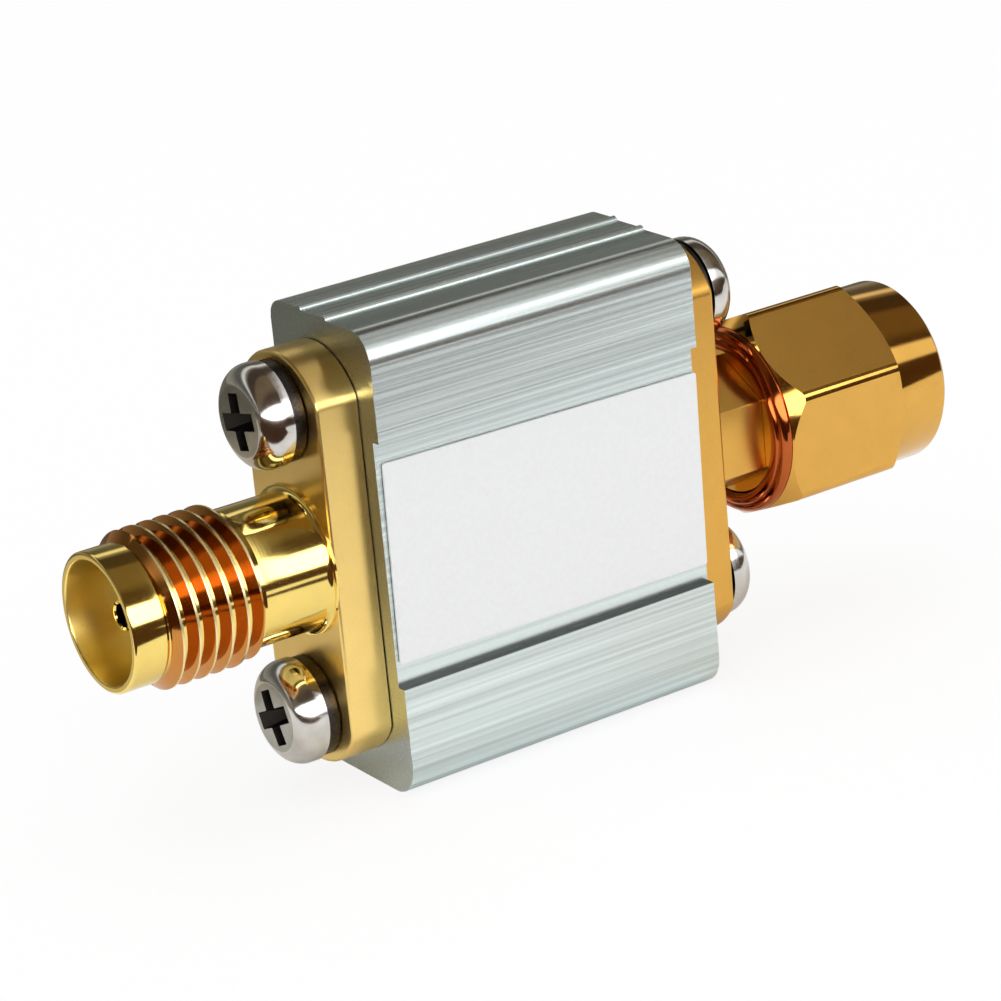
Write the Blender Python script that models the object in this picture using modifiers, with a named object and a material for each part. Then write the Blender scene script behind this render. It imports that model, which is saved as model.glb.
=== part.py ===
"""RF bandpass filter: an extruded housing between a coaxial jack and a coaxial plug with a coupling nut.

Metres, +Z up. X runs along the signal axis, from the jack (-X) to the plug (+X). -Y is the labelled
face. The origin is the centre of the housing's bottom face.
"""

import math

import bmesh
import bpy
from mathutils import Matrix

NAME = "rf_bandpass_filter"
GAP = 0.00004  # between pieces that touch
FINE = 40  # facets round a large turned piece
COARSE = 24  # facets round a small one
ARC_STEP_DEG = 10.0  # in outlines seen from close by
WIDE_STEP_DEG = 15.0  # in the others
OVERRUN = 0.001  # how far a cutter goes past what it cuts
MERGE = 0.000001  # points closer than this are one

# Housing, an extrusion cut to length
HOUSING_LENGTH = 0.0151
HOUSING_DEPTH = 0.0070
TOP_LEVEL = 0.0190  # the top face in front of the ribs
TOP_STEP = 0.000065  # how much higher it is behind each of them
RIB_PLACES = (0.00135, -0.00042)  # across the top, from the back
RIB_HALF_WIDTH = 0.00016
RIB_RISE = 0.00012
RIB_STEPS = 8
FRONT_TOP_RADIUS = 0.0012
FRONT_BOTTOM_RADIUS = 0.00135
BACK_RADIUS = 0.0008
HOUSING_END_CHAMFER = 0.00004
AXIS_Y = 0.0004
AXIS_Z = 0.0096
RECESS_ABOVE_AXIS = 0.0051
RECESS_BELOW_AXIS = 0.00495
RECESS_DEPTH = 0.0004
CHANNEL_DEPTH = 0.0044
CHANNEL_HEIGHT = 0.0088

# Label
LABEL_LENGTH = 0.0149
LABEL_HEIGHT = 0.00815
LABEL_THICKNESS = 0.0001
LABEL_CORNER = 0.0001
LABEL_TURN_DEG = 0.9

# Two-hole flanges of both connectors, measured from their outer face
FLANGE_THICKNESS = 0.0018
FLANGE_WIDTH = 0.0055
FLANGE_END_RADIUS = 0.0031
FLANGE_CHAMFER = 0.0002
SCREW_SPACING = 0.0122
FLANGE_PAST_SCREW = 0.00235  # from each screw's axis to the flange's end
SCREW_HOLE_RADIUS = 0.0013
INSULATOR_RADIUS = 0.00202
INSULATOR_BORE_RADIUS = 0.002055
CONTACT_RADIUS = 0.000635
TAIL_RADIUS = 0.00025
TAIL_LENGTH = 0.0019
INSULATOR_TAIL = 0.0005  # how far an insulator goes into the housing's channel

# Jack, measured out from its flange's outer face
JACK_FOOT_RADIUS = 0.00303
JACK_FOOT_LENGTH = 0.00012
JACK_BARREL_RADIUS = 0.0028
JACK_THREAD_START = 0.0031
JACK_THREAD_END = 0.0074
JACK_THREAD_RADIUS = 0.003175
JACK_THREAD_DEPTH = 0.00043
JACK_PILOT_RADIUS = 0.002785
JACK_MOUTH = 0.0088
JACK_RIM_ROUNDING = 0.00011
JACK_RIM_BORE = 0.00248
JACK_BORE_RADIUS = 0.0023
JACK_BORE_LEAD = 0.00025
JACK_BORE_DEPTH = 0.0032
JACK_CONTACT_BACK = 0.0010  # from the mouth to the socket's end
SOCKET_HOLE_RADIUS = 0.00047
SOCKET_HOLE_DEPTH = 0.0024
SOCKET_SLOT_WIDTH = 0.00013
SOCKET_SLOT_LENGTH = 0.0019
SOCKET_TURN_DEG = 45.0

# Plug and coupling nut, measured out from their flange's outer face
HEXAGON_STEP_DEG = 60.0
NECK_FLATS = 0.00505
NECK_END = 0.0023
SHAFT_RADIUS = 0.00308
SHAFT_END = 0.0047
RING_GROOVE_START = 0.00365
RING_GROOVE_WIDTH = 0.0005
SHAFT_GROOVE_RADIUS = 0.0026
OUTER_CONTACT_RADIUS = 0.002295
REFERENCE_PLANE = 0.0082
PIN_RADIUS = 0.00046
PIN_TIP_RADIUS = 0.00014
PIN_TIP_LENGTH = 0.0005
PIN_AHEAD = 0.0020  # from the reference plane to the pin's tip
NUT_START = 0.00205
NUT_FLATS = 0.0080
NUT_TURN_DEG = 8.2
NUT_EDGE_OFFSET = 0.0003  # of the rounding on the hexagon's long edges
NUT_HEX_START = 0.0026
NUT_HEX_FULL = 0.0033
NUT_HEX_TAPER = 0.0081
NUT_HEX_END = 0.0085
NUT_END = 0.01105
NUT_LOBE_INNER = 0.0031
NUT_LOBE_MEETING = 0.00361  # the radius at which both rolled lobes of the back end meet
NUT_LOBE_DEPTH = 0.00016
NUT_LOBE_STEPS = 4
NUT_BACK_RADIUS = 0.00395
NUT_FRONT_RADIUS = 0.00402
NUT_COLLAR_RADIUS = 0.00388
NUT_END_CHAMFER = 0.00022
NUT_BORE_RADIUS = 0.00315
NUT_GROOVE_RADIUS = 0.00362
NUT_RELIEF_RADIUS = 0.00325
NUT_THREAD_START = 0.0069
NUT_THREAD_RADIUS = 0.00278
NUT_MOUTH_RADIUS = 0.0033
NUT_MOUTH_LEAD = 0.00045
SNAP_RING_INNER = 0.00272
SNAP_RING_OUTER = 0.0035
SNAP_RING_WIDTH = 0.00036
SNAP_RING_OPENING_DEG = 24.0
GASKET_INNER = 0.00234
GASKET_OUTER = 0.0029
GASKET_WIDTH = 0.00076

# Screws and lock washers
WASHER_THICKNESS = 0.0005
WASHER_OUTER = 0.00203
WASHER_INNER = 0.00118
WASHER_OPENING_DEG = 7.0
HEAD_RADIUS = 0.00211
HEAD_HEIGHT = 0.0013
HEAD_SIDE = 0.00035
HEAD_TOP_RADIUS = 0.0014
HEAD_TOP_RISE = 0.00006
HEAD_CURVE_STEPS = 6
SHANK_RADIUS = 0.00095
SHANK_LENGTH = 0.00635
SHANK_TIP_CHAMFER = 0.0002
TAPPED_RADIUS = 0.00099
TAPPED_DEPTH = 0.0050
CROSS_LENGTH = 0.0021
CROSS_WIDTH = 0.00056
CROSS_DEPTH = 0.0008
CROSS_TURNS_DEG = {"jack_top": 12.0, "jack_bottom": 24.0, "plug_top": 40.0, "plug_bottom": 71.0}

# Circuit board and the parts on it
BOARD_THICKNESS = 0.0008
BOARD_SLOT_DEPTH = 0.00035
CHIP_SIZE = (0.0050, 0.0016, 0.0032)
INDUCTOR_SIZE = (0.0016, 0.0008, 0.0008)
CAPACITOR_SIZE = (0.0010, 0.0005, 0.0005)
PARTS_CLEARANCE = 0.0006  # over and under the filter chip

HALF_LENGTH = HOUSING_LENGTH / 2
FLANGE_FACE = HALF_LENGTH + GAP + FLANGE_THICKNESS
BOARD_FACE = AXIS_Y + TAIL_RADIUS + GAP

for old in list(bpy.data.objects):
    bpy.data.objects.remove(old)

parts = bpy.data.collections.new(NAME)
cutters = bpy.data.collections.new("cutters")
bpy.context.scene.collection.children.link(parts)
bpy.context.scene.collection.children.link(cutters)


def material(name, color, metallic, roughness):
    made = bpy.data.materials.new(name)
    made.use_nodes = True
    shader = made.node_tree.nodes["Principled BSDF"]
    shader.inputs["Base Color"].default_value = (*color, 1.0)
    shader.inputs["Metallic"].default_value = metallic
    shader.inputs["Roughness"].default_value = roughness
    made.diffuse_color = (*color, 1.0)
    return made


aluminium = material("extruded_aluminium", (0.72, 0.75, 0.76), 1.0, 0.42)
label_white = material("label_white", (0.86, 0.86, 0.85), 0.0, 0.55)
gold = material("gold_plate", (0.90, 0.66, 0.30), 1.0, 0.16)
steel = material("screw_steel", (0.62, 0.61, 0.58), 1.0, 0.22)
dark_steel = material("washer_steel", (0.10, 0.10, 0.10), 1.0, 0.35)
ptfe = material("ptfe", (0.90, 0.90, 0.88), 0.0, 0.45)
silicone = material("red_silicone", (0.55, 0.06, 0.04), 0.0, 0.5)
bronze = material("spring_bronze", (0.60, 0.42, 0.24), 1.0, 0.3)
board_green = material("board_green", (0.03, 0.16, 0.07), 0.0, 0.4)
chip_grey = material("chip_ceramic", (0.55, 0.54, 0.50), 0.0, 0.5)
inductor_blue = material("inductor_ceramic", (0.10, 0.16, 0.28), 0.0, 0.4)
capacitor_tan = material("capacitor_ceramic", (0.45, 0.32, 0.20), 0.0, 0.4)


def add(name, mesh, group, place=Matrix(), facets=0):
    made = bpy.data.objects.new(name, mesh)
    made.matrix_world = place
    group.objects.link(made)
    if facets:
        revolve(made, facets)
    if group is cutters:
        made.hide_render = True
        made.display_type = "WIRE"
    return made


def finished(name, mesh, look, place=Matrix(), facets=0):
    mesh.materials.clear()
    mesh.materials.append(look)
    return add(name, mesh, parts, place, facets)


def smooth(mesh):
    mesh.shade_smooth()
    mesh.set_sharp_from_angle(angle=math.radians(30))
    return mesh


def outward(side):
    """A frame on a flange's outer face, with its Z axis pointing out of the housing at that side."""
    face = Matrix.Translation((side * FLANGE_FACE, AXIS_Y, AXIS_Z))
    return face @ Matrix.Rotation(side * math.pi / 2, 4, "Y")


def screw_place(side, up):
    """The same frame moved to a screw's axis, up (1) or down (-1) from the signal axis."""
    return outward(side) @ Matrix.Translation((-side * up * SCREW_SPACING / 2, 0, 0))


def arc(across, up, radius, start, end, step_deg=ARC_STEP_DEG):
    steps = round(abs(end - start) / step_deg)
    angles = [math.radians(start + (end - start) * i / steps) for i in range(steps + 1)]
    return [(across + radius * math.cos(a), up + radius * math.sin(a)) for a in angles]


def extruded(outline, low, high, chamfer_low=0.0, chamfer_high=0.0):
    """A prism from an outline in local XY, with chamfered ends."""
    bm = bmesh.new()
    verts = [bm.verts.new((x, y, low)) for x, y in outline]
    bottom = bm.faces.new(verts)
    grown = bmesh.ops.extrude_face_region(bm, geom=[bottom], use_keep_orig=True)
    top = [g for g in grown["geom"] if isinstance(g, bmesh.types.BMFace)][0]
    bmesh.ops.translate(bm, verts=top.verts[:], vec=(0, 0, high - low))
    for face, size in ((bottom, chamfer_low), (top, chamfer_high)):
        if size > 0:
            bmesh.ops.bevel(bm, geom=face.edges[:], affect="EDGES", offset=size, segments=1, profile=0.5,
                            offset_type="OFFSET", clamp_overlap=False, material=-1)
    bmesh.ops.recalc_face_normals(bm, faces=bm.faces[:])
    mesh = bpy.data.meshes.new("prism")
    bm.to_mesh(mesh)
    bm.free()
    return mesh


def box(size, center):
    bm = bmesh.new()
    shape = Matrix.Translation(center) @ Matrix.Diagonal((*size, 1.0))
    bmesh.ops.create_cube(bm, size=1.0, matrix=shape)
    mesh = bpy.data.meshes.new("box")
    bm.to_mesh(mesh)
    bm.free()
    return mesh


def turned(profile, closed=False):
    """The outline of a solid of revolution about local Z, from points of height and radius."""
    pairs = list(zip(profile, profile[1:] + profile[:1]))
    if sum(h0 * r1 - h1 * r0 for (h0, r0), (h1, r1) in pairs) < 0:
        profile = profile[::-1]
    bm = bmesh.new()
    verts = [bm.verts.new((radius, 0.0, height)) for height, radius in profile]
    for pair in zip(verts, verts[1:]):
        bm.edges.new(pair)
    if closed:
        bm.edges.new((verts[-1], verts[0]))
    mesh = bpy.data.meshes.new("turned")
    bm.to_mesh(mesh)
    bm.free()
    return mesh


def revolve(target, facets):
    step = target.modifiers.new("turn", "SCREW")
    step.axis = "Z"
    step.steps = facets
    step.render_steps = facets
    step.use_smooth_shade = True
    step.use_merge_vertices = True
    step.merge_threshold = MERGE


def open_ring(inner, outer, low, high, opening_deg, facets):
    """A square-section ring about local Z with a piece of it missing."""
    bm = bmesh.new()
    corners = ((inner, low), (outer, low), (outer, high), (inner, high))
    start = bm.faces.new([bm.verts.new((r, 0.0, z)) for r, z in corners])
    sweep = math.radians(360 - opening_deg)
    grown = bmesh.ops.spin(bm, geom=[start], cent=(0, 0, 0), axis=(0, 0, 1), dvec=(0, 0, 0),
                           angle=sweep, steps=facets, use_merge=False, use_duplicate=False)
    if not grown["geom_last"]:
        raise ValueError("the ring did not grow")
    bmesh.ops.rotate(bm, verts=bm.verts[:], cent=(0, 0, 0),
                     matrix=Matrix.Rotation(math.radians(opening_deg / 2), 3, "Z"))
    bmesh.ops.recalc_face_normals(bm, faces=bm.faces[:])
    mesh = bpy.data.meshes.new("open_ring")
    bm.to_mesh(mesh)
    bm.free()
    return smooth(mesh)


def boolean(target, tool, operation):
    step = target.modifiers.new(f"{operation.lower()} {tool.name}", "BOOLEAN")
    step.operation = operation
    step.solver = "EXACT"
    step.object = tool


def cut(target, name, mesh, place=Matrix(), facets=0):
    boolean(target, add(name, mesh, cutters, place, facets), "DIFFERENCE")


def join(target, name, mesh, place=Matrix(), facets=0):
    boolean(target, add(name, mesh, cutters, place, facets), "UNION")


def rib(place, level):
    """Points over one rib of the top face, from the back down to the level in front of it."""
    points = []
    for i in range(RIB_STEPS + 1):
        turn = math.pi * i / RIB_STEPS
        behind = (1 + math.cos(turn)) / 2
        up = level + TOP_STEP * behind + RIB_RISE * math.sin(turn)
        points.append((place + RIB_HALF_WIDTH * math.cos(turn), up))
    return points


def housing_outline():
    """The section in Y and Z, from the bottom face's back edge round by the back, top and front."""
    front = -HOUSING_DEPTH / 2
    back = HOUSING_DEPTH / 2
    floor = front + RECESS_DEPTH
    top_back = TOP_LEVEL + TOP_STEP * len(RIB_PLACES)
    points = arc(back - BACK_RADIUS, BACK_RADIUS, BACK_RADIUS, -90, 0, WIDE_STEP_DEG)
    points += arc(back - BACK_RADIUS, top_back - BACK_RADIUS, BACK_RADIUS, 0, 90, WIDE_STEP_DEG)
    for number, place in enumerate(RIB_PLACES, 1):
        points += rib(place, top_back - TOP_STEP * number)
    points += arc(front + FRONT_TOP_RADIUS, TOP_LEVEL - FRONT_TOP_RADIUS, FRONT_TOP_RADIUS, 90, 180)
    for y, z in ((front, AXIS_Z + RECESS_ABOVE_AXIS), (floor, AXIS_Z + RECESS_ABOVE_AXIS),
                 (floor, AXIS_Z - RECESS_BELOW_AXIS), (front, AXIS_Z - RECESS_BELOW_AXIS)):
        points.append((y, z))
    points += arc(front + FRONT_BOTTOM_RADIUS, FRONT_BOTTOM_RADIUS, FRONT_BOTTOM_RADIUS, 180, 270)
    return points


# The outline's own X and Y lie along the world's Y and Z
along_x = Matrix(((0, 0, 1, 0), (1, 0, 0, 0), (0, 1, 0, 0), (0, 0, 0, 1)))
housing = finished("housing", extruded(housing_outline(), -HALF_LENGTH, HALF_LENGTH,
                                       HOUSING_END_CHAMFER, HOUSING_END_CHAMFER), aluminium, along_x)
through = HOUSING_LENGTH + 2 * OVERRUN
cut(housing, "channel", box((through, CHANNEL_DEPTH, CHANNEL_HEIGHT), (0, AXIS_Y, AXIS_Z)))
slot_thickness = BOARD_THICKNESS + 2 * GAP
slot_y = BOARD_FACE + BOARD_THICKNESS / 2
cut(housing, "board_slots", box((through, slot_thickness, CHANNEL_HEIGHT + 2 * BOARD_SLOT_DEPTH),
                                (0, slot_y, AXIS_Z)))

# Label on the recess floor, flush with the plug end of the housing
label_outline = []
for sx, sz, first in ((1, 1, 0), (-1, 1, 90), (-1, -1, 180), (1, -1, 270)):
    label_outline += arc(sx * (LABEL_LENGTH / 2 - LABEL_CORNER), sz * (LABEL_HEIGHT / 2 - LABEL_CORNER),
                         LABEL_CORNER, first, first + 90, WIDE_STEP_DEG)
label_front = -HOUSING_DEPTH / 2 + RECESS_DEPTH - GAP - LABEL_THICKNESS
label_turn = Matrix.Rotation(math.radians(LABEL_TURN_DEG), 4, "Y") @ Matrix.Rotation(math.pi / 2, 4, "X")
label_place = Matrix.Translation((HALF_LENGTH - LABEL_LENGTH / 2, label_front, AXIS_Z)) @ label_turn
finished("label", extruded(label_outline, -LABEL_THICKNESS, 0.0), label_white, label_place)

# Connector bodies: flange, then what stands on it, then the bore and the two screw holes
tail_end = -FLANGE_THICKNESS - GAP - INSULATOR_TAIL
end_center = SCREW_SPACING / 2 + FLANGE_PAST_SCREW - FLANGE_END_RADIUS
end_angle = math.degrees(math.asin(FLANGE_WIDTH / 2 / FLANGE_END_RADIUS))
flange_outline = (arc(end_center, 0, FLANGE_END_RADIUS, -end_angle, end_angle)
                  + arc(-end_center, 0, FLANGE_END_RADIUS, 180 - end_angle, 180 + end_angle))


def connector_body(name, side, stud, bore, neck=None):
    plate = extruded(flange_outline, -FLANGE_THICKNESS, 0.0, 0.0, FLANGE_CHAMFER)
    body = finished(name, smooth(plate), gold, outward(side))
    if neck:
        join(body, f"{name}_neck", neck, outward(side))
    join(body, f"{name}_stud", turned(stud), outward(side), FINE)
    cut(body, f"{name}_bore", turned(bore), outward(side), FINE)
    hole = [(-FLANGE_THICKNESS - OVERRUN, 0), (-FLANGE_THICKNESS - OVERRUN, SCREW_HOLE_RADIUS),
            (OVERRUN, SCREW_HOLE_RADIUS), (OVERRUN, 0)]
    for word, up in (("bottom", -1), ("top", 1)):
        cut(body, f"{name}_hole_{word}", turned(hole), screw_place(side, up), COARSE)


root = -FLANGE_THICKNESS / 2
inside_flange = FLANGE_WIDTH / 2 - FLANGE_CHAMFER - GAP
foot_fillet = JACK_FOOT_RADIUS - JACK_BARREL_RADIUS
jack_stud = [
    (root, 0), (root, inside_flange), (-GAP, inside_flange), (-GAP, JACK_FOOT_RADIUS),
    *arc(JACK_FOOT_LENGTH + foot_fillet, JACK_FOOT_RADIUS, foot_fillet, 180, 270, 2 * WIDE_STEP_DEG),
    (JACK_THREAD_START, JACK_BARREL_RADIUS),
    (JACK_THREAD_START + JACK_THREAD_DEPTH / 2, JACK_THREAD_RADIUS),
    (JACK_THREAD_END - JACK_THREAD_DEPTH / 2, JACK_THREAD_RADIUS),
    (JACK_THREAD_END, JACK_PILOT_RADIUS)]
rim = [(up, out) for out, up in arc(JACK_PILOT_RADIUS - JACK_RIM_ROUNDING, JACK_MOUTH - JACK_RIM_ROUNDING,
                                   JACK_RIM_ROUNDING, 0, 90, 2 * WIDE_STEP_DEG)]
jack_stud += rim + [(JACK_MOUTH, 0)]
shoulder = JACK_MOUTH - JACK_BORE_DEPTH
jack_bore = [(JACK_MOUTH + OVERRUN, 0), (JACK_MOUTH + OVERRUN, JACK_RIM_BORE), (JACK_MOUTH, JACK_RIM_BORE),
             (JACK_MOUTH - JACK_BORE_LEAD, JACK_BORE_RADIUS), (shoulder, JACK_BORE_RADIUS),
             (shoulder, INSULATOR_BORE_RADIUS), (-FLANGE_THICKNESS - OVERRUN, INSULATOR_BORE_RADIUS),
             (-FLANGE_THICKNESS - OVERRUN, 0)]
connector_body("jack_body", -1, jack_stud, jack_bore)


def insulator(name, side, front, bore_radius):
    outline = [(tail_end, bore_radius), (tail_end, INSULATOR_RADIUS),
               (front, INSULATOR_RADIUS), (front, bore_radius)]
    finished(name, turned(outline, closed=True), ptfe, outward(side), FINE)


insulator("jack_insulator", -1, shoulder, CONTACT_RADIUS + GAP)
insulator("plug_insulator", 1, REFERENCE_PLANE, CONTACT_RADIUS + GAP)

# Centre contacts, each ending in a thin tail that lies on the board
tail_tip = tail_end - TAIL_LENGTH
socket_end = JACK_MOUTH - JACK_CONTACT_BACK
socket = [(tail_tip, 0), (tail_tip, TAIL_RADIUS), (tail_end, TAIL_RADIUS), (tail_end, CONTACT_RADIUS),
          (socket_end, CONTACT_RADIUS), (socket_end, SOCKET_HOLE_RADIUS),
          (socket_end - SOCKET_HOLE_DEPTH, SOCKET_HOLE_RADIUS), (socket_end - SOCKET_HOLE_DEPTH, 0)]
contact = finished("jack_contact", turned(socket), gold, outward(-1), COARSE)
for word, turn in (("a", 0), ("b", 90)):
    size = (2 * (CONTACT_RADIUS + OVERRUN), SOCKET_SLOT_WIDTH, 2 * SOCKET_SLOT_LENGTH)
    place = outward(-1) @ Matrix.Rotation(math.radians(turn + SOCKET_TURN_DEG), 4, "Z")
    cut(contact, f"socket_slot_{word}", box(size, (0, 0, socket_end)), place)
pin_tip = REFERENCE_PLANE + PIN_AHEAD
pin = [(tail_tip, 0), (tail_tip, TAIL_RADIUS), (tail_end, TAIL_RADIUS), (tail_end, CONTACT_RADIUS),
       (REFERENCE_PLANE, CONTACT_RADIUS), (REFERENCE_PLANE, PIN_RADIUS),
       (pin_tip - PIN_TIP_LENGTH, PIN_RADIUS), (pin_tip, PIN_TIP_RADIUS), (pin_tip, 0)]
finished("plug_pin", turned(pin), gold, outward(1), COARSE)

# Plug: hexagonal neck with a flat to the front, shaft with the ring's groove, outer contact
hexagon = arc(0, 0, NECK_FLATS / math.sqrt(3), 0, 300, HEXAGON_STEP_DEG)
groove_end = RING_GROOVE_START + RING_GROOVE_WIDTH
shaft = [(root, 0), (root, INSULATOR_BORE_RADIUS + 2 * GAP), (NECK_END, INSULATOR_BORE_RADIUS + 2 * GAP),
         (NECK_END, SHAFT_RADIUS), (RING_GROOVE_START, SHAFT_RADIUS),
         (RING_GROOVE_START, SHAFT_GROOVE_RADIUS), (groove_end, SHAFT_GROOVE_RADIUS),
         (groove_end, SHAFT_RADIUS), (SHAFT_END, SHAFT_RADIUS),
         (SHAFT_END, OUTER_CONTACT_RADIUS), (REFERENCE_PLANE, OUTER_CONTACT_RADIUS), (REFERENCE_PLANE, 0)]
plug_bore = [(-FLANGE_THICKNESS - OVERRUN, 0), (-FLANGE_THICKNESS - OVERRUN, INSULATOR_BORE_RADIUS),
             (REFERENCE_PLANE + OVERRUN, INSULATOR_BORE_RADIUS), (REFERENCE_PLANE + OVERRUN, 0)]
connector_body("plug_body", 1, shaft, plug_bore, extruded(hexagon, root, NECK_END + GAP))

# Coupling nut: a hexagon turned down at both ends, two rolled lobes behind it and a collar in front
nut_place = outward(1) @ Matrix.Rotation(math.radians(NUT_TURN_DEG), 4, "Z")
corner_radius = NUT_FLATS / math.sqrt(3)
edge_rounding = NUT_EDGE_OFFSET * math.sqrt(3)
edge_place = corner_radius - edge_rounding * 2 / math.sqrt(3)
nut_outline = []
for corner in range(0, 360, round(HEXAGON_STEP_DEG)):
    turn = math.radians(corner)
    nut_outline += arc(edge_place * math.cos(turn), edge_place * math.sin(turn), edge_rounding,
                       corner - HEXAGON_STEP_DEG / 2, corner + HEXAGON_STEP_DEG / 2, WIDE_STEP_DEG)
nut = finished("coupling_nut", smooth(extruded(nut_outline, NUT_HEX_START, NUT_HEX_END)), gold, nut_place)
envelope = [(NUT_HEX_START - GAP, 0), (NUT_HEX_START - GAP, NUT_BACK_RADIUS),
            (NUT_HEX_FULL, corner_radius), (NUT_HEX_TAPER, corner_radius),
            (NUT_HEX_END + GAP, NUT_FRONT_RADIUS), (NUT_HEX_END + GAP, 0)]
boolean(nut, add("nut_envelope", turned(envelope), cutters, nut_place, FINE), "INTERSECT")


def lobe(start, end):
    """A rolled lobe between two points of height and radius, standing out to the left of the way."""
    length = math.dist(start, end)
    ahead = [(b - a) / length for a, b in zip(start, end)]
    points = []
    for i in range(1, NUT_LOBE_STEPS + 1):
        turn = math.pi * i / NUT_LOBE_STEPS
        along = length * (1 - math.cos(turn)) / 2
        out = NUT_LOBE_DEPTH * math.sin(turn)
        height = start[0] + ahead[0] * along - ahead[1] * out
        radius = start[1] + ahead[1] * along + ahead[0] * out
        points.append((height, radius))
    return points


lobes = [(NUT_START + NUT_LOBE_DEPTH, NUT_LOBE_INNER), (NUT_START + NUT_LOBE_DEPTH, NUT_LOBE_MEETING),
         (NUT_HEX_START, NUT_BACK_RADIUS)]
collars = [(NUT_START + NUT_LOBE_DEPTH, 0), lobes[0], *lobe(lobes[0], lobes[1]), *lobe(lobes[1], lobes[2]),
           (NUT_HEX_START + GAP, NUT_COLLAR_RADIUS), (NUT_END - NUT_END_CHAMFER, NUT_COLLAR_RADIUS),
           (NUT_END, NUT_COLLAR_RADIUS - NUT_END_CHAMFER), (NUT_END, 0)]
join(nut, "nut_collars", turned(collars), nut_place, FINE)
nut_bore = [(NUT_START - OVERRUN, 0), (NUT_START - OVERRUN, NUT_BORE_RADIUS),
            (RING_GROOVE_START, NUT_BORE_RADIUS), (RING_GROOVE_START, NUT_GROOVE_RADIUS),
            (groove_end, NUT_GROOVE_RADIUS), (groove_end, NUT_BORE_RADIUS),
            (SHAFT_END, NUT_BORE_RADIUS), (SHAFT_END, NUT_RELIEF_RADIUS),
            (NUT_THREAD_START, NUT_RELIEF_RADIUS), (NUT_THREAD_START, NUT_THREAD_RADIUS),
            (NUT_END - NUT_MOUTH_LEAD, NUT_THREAD_RADIUS), (NUT_END, NUT_MOUTH_RADIUS),
            (NUT_END + OVERRUN, NUT_MOUTH_RADIUS), (NUT_END + OVERRUN, 0)]
cut(nut, "nut_bore", turned(nut_bore), nut_place, FINE)
ring_low = RING_GROOVE_START + (RING_GROOVE_WIDTH - SNAP_RING_WIDTH) / 2
finished("snap_ring", open_ring(SNAP_RING_INNER, SNAP_RING_OUTER, ring_low, ring_low + SNAP_RING_WIDTH,
                                SNAP_RING_OPENING_DEG, COARSE), bronze, nut_place)
gasket = [(SHAFT_END + GAP, GASKET_INNER), (SHAFT_END + GAP, GASKET_OUTER),
          (SHAFT_END + GAP + GASKET_WIDTH, GASKET_OUTER), (SHAFT_END + GAP + GASKET_WIDTH, GASKET_INNER)]
finished("nut_gasket", turned(gasket, closed=True), silicone, outward(1), FINE)

# Screws through both flanges into tapped holes in the housing's ends
under_head = GAP + WASHER_THICKNESS + GAP
head_top = under_head + HEAD_HEIGHT
screw = [(under_head - SHANK_LENGTH, 0), (under_head - SHANK_LENGTH, SHANK_RADIUS - SHANK_TIP_CHAMFER),
         (under_head - SHANK_LENGTH + SHANK_TIP_CHAMFER, SHANK_RADIUS), (under_head, SHANK_RADIUS),
         (under_head, HEAD_RADIUS), (under_head + HEAD_SIDE, HEAD_RADIUS)]
for i in range(1, HEAD_CURVE_STEPS + 1):
    a = math.pi / 2 * i / HEAD_CURVE_STEPS
    up = head_top - HEAD_TOP_RISE - under_head - HEAD_SIDE
    out = HEAD_RADIUS - HEAD_TOP_RADIUS
    screw.append((under_head + HEAD_SIDE + up * math.sin(a), HEAD_TOP_RADIUS + out * math.cos(a)))
screw += [(head_top - HEAD_TOP_RISE / 4, HEAD_TOP_RADIUS / 2), (head_top, 0)]
for end, side in (("jack", -1), ("plug", 1)):
    for word, up in (("top", 1), ("bottom", -1)):
        key = f"{end}_{word}"
        place = screw_place(side, up) @ Matrix.Rotation(math.radians(CROSS_TURNS_DEG[key]), 4, "Z")
        made = finished(f"screw_{key}", turned(screw), steel, place, COARSE)
        for arm, angle in (("a", 0), ("b", math.pi / 2)):
            slot = box((CROSS_LENGTH, CROSS_WIDTH, 2 * CROSS_DEPTH), (0, 0, head_top))
            cut(made, f"cross_{key}_{arm}", slot, place @ Matrix.Rotation(angle, 4, "Z"))
        ring = open_ring(WASHER_INNER, WASHER_OUTER, GAP, GAP + WASHER_THICKNESS, WASHER_OPENING_DEG, COARSE)
        finished(f"washer_{key}", ring, dark_steel, place)
        tapped = [(-TAPPED_DEPTH, 0), (-TAPPED_DEPTH, TAPPED_RADIUS), (OVERRUN, TAPPED_RADIUS), (OVERRUN, 0)]
        mouth = place @ Matrix.Translation((0, 0, -FLANGE_THICKNESS - GAP))
        cut(housing, f"tapped_{key}", turned(tapped), mouth, COARSE)

# Circuit board in the housing's slots, with its parts on the front side
board_length = HOUSING_LENGTH - 2 * (INSULATOR_TAIL + 2 * GAP)
board_height = CHANNEL_HEIGHT + 2 * BOARD_SLOT_DEPTH - 2 * GAP
finished("circuit_board", box((board_length, BOARD_THICKNESS, board_height),
                              (0, BOARD_FACE + BOARD_THICKNESS / 2, AXIS_Z)), board_green)


def board_part(name, size, x, above_axis, look):
    center = (x, BOARD_FACE - GAP - size[1] / 2, AXIS_Z + above_axis)
    return finished(name, box(size, center), look)


# The small parts stand level with the tips of the contacts' tails
tip_x = FLANGE_FACE + tail_tip
chip_half = CHIP_SIZE[2] / 2 + PARTS_CLEARANCE
board_part("filter_chip", CHIP_SIZE, 0, 0, chip_grey)
inductor_down = -chip_half - INDUCTOR_SIZE[2] / 2
capacitor_up = chip_half + CAPACITOR_SIZE[2] / 2
for number, x in (("1", -tip_x), ("2", tip_x)):
    board_part(f"chip_inductor_{number}", INDUCTOR_SIZE, x, inductor_down, inductor_blue)
    board_part(f"chip_capacitor_{number}", CAPACITOR_SIZE, x, capacitor_up, capacitor_tan)
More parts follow.
